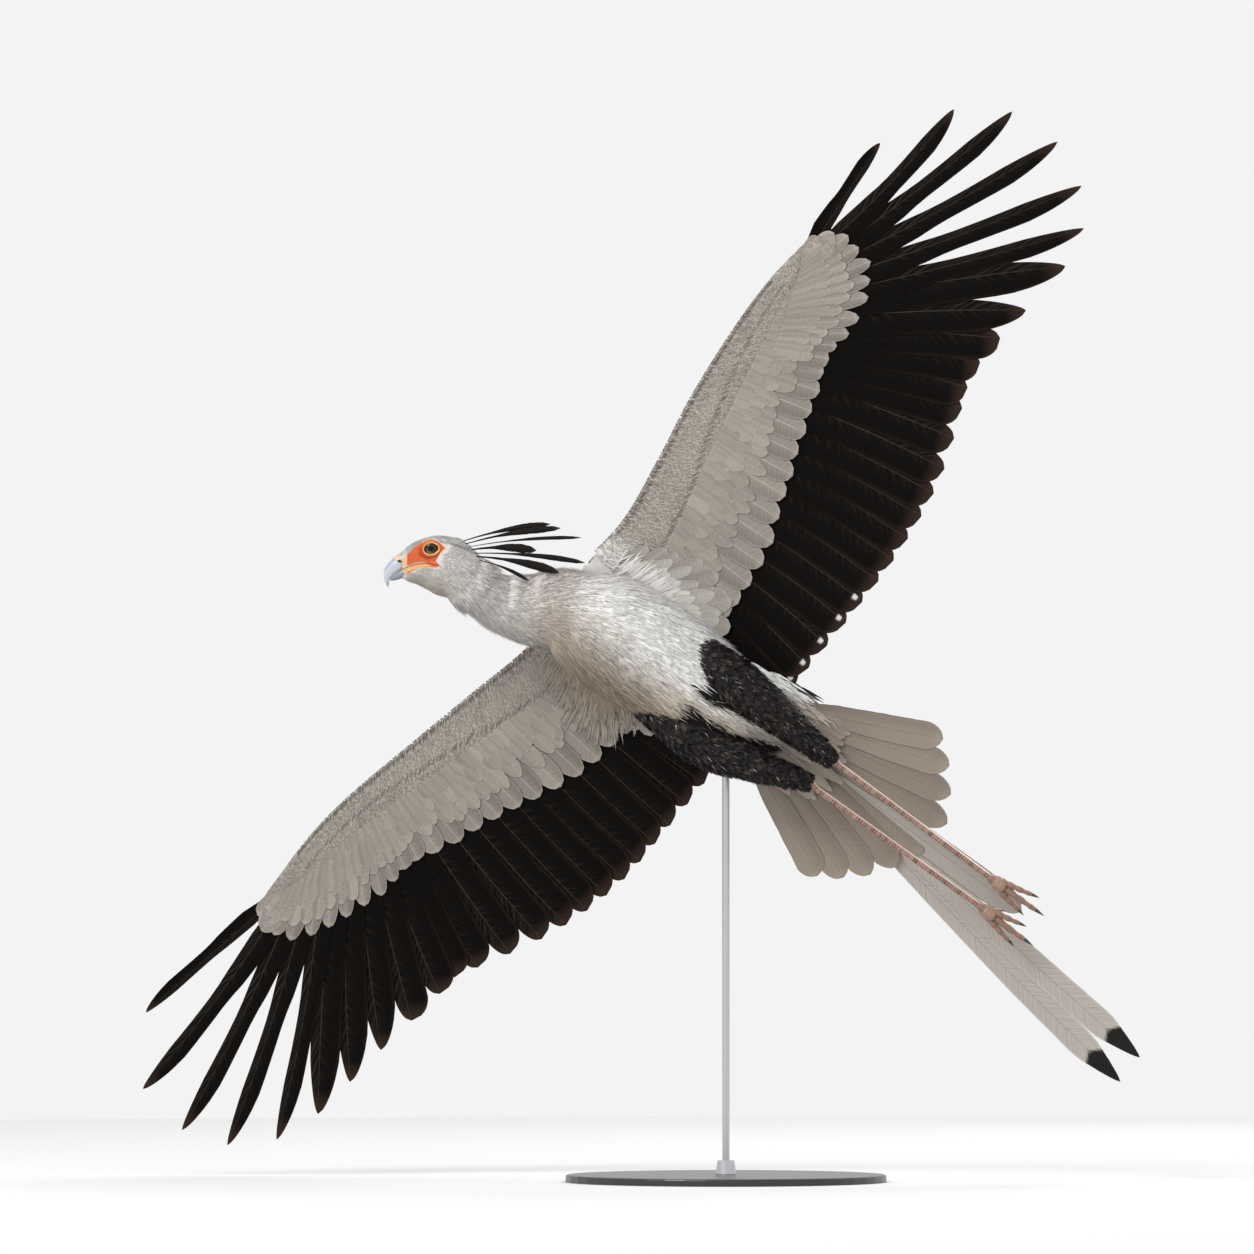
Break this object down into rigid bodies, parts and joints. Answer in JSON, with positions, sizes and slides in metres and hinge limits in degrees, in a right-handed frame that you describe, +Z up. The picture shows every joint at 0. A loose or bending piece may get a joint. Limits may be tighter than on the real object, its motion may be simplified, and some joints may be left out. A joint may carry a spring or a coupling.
{
  "type": "secretary bird",
  "caption": "Life-size secretary bird gliding in a bank with wings spread, long crest, trailing legs and tail streamers, on a round base with a rod.",
  "frame": {"origin": "centre of the base's underside, on the surface that the stand rests on", "axes": "+Z up, +X towards the bird's tail and -X towards its bill as seen from the front, -Y towards the viewer who sees its underside"},
  "size_m": [1.6258, 0.6934, 1.7305],
  "materials": {
    "body_plumage": "soft pale grey-white body feathers",
    "face_skin": "bare orange face skin with pale head feathers and a black crest",
    "bill_horn": "smooth blue-grey horn, cream at the cere",
    "eye": "wet dark eye",
    "flight_plumage": "black flight feathers with pale grey coverts",
    "tail_plumage": "grey tail feathers with black tips",
    "thigh_plumage": "dense black thigh feathers with pale flecks",
    "leg_skin": "pinkish scaled skin",
    "claw_horn": "dark horn",
    "stand_base_paint": "satin black powder coat",
    "stand_steel": "brushed steel"
  },
  "bodies": {
    "root": {"torso": "body_plumage", "neck": "body_plumage", "head": "face_skin", "bill_upper": "bill_horn", "bill_lower": "bill_horn", "eye_left": "eye", "eye_right": "eye", "wing_left": "flight_plumage", "wing_right": "flight_plumage", "tail": "tail_plumage", "leg_left_thigh": "thigh_plumage", "leg_right_thigh": "thigh_plumage", "leg_left_tarsus": "leg_skin", "leg_right_tarsus": "leg_skin", "foot_left": "leg_skin", "foot_right": "leg_skin", "claw_left_inner": "claw_horn", "claw_left_middle": "claw_horn", "claw_left_outer": "claw_horn", "claw_left_hind": "claw_horn", "claw_right_inner": "claw_horn", "claw_right_middle": "claw_horn", "claw_right_outer": "claw_horn", "claw_right_hind": "claw_horn", "stand_base": "stand_base_paint", "stand_boss": "stand_steel", "stand_rod": "stand_steel"}
  },
  "joints": []
}
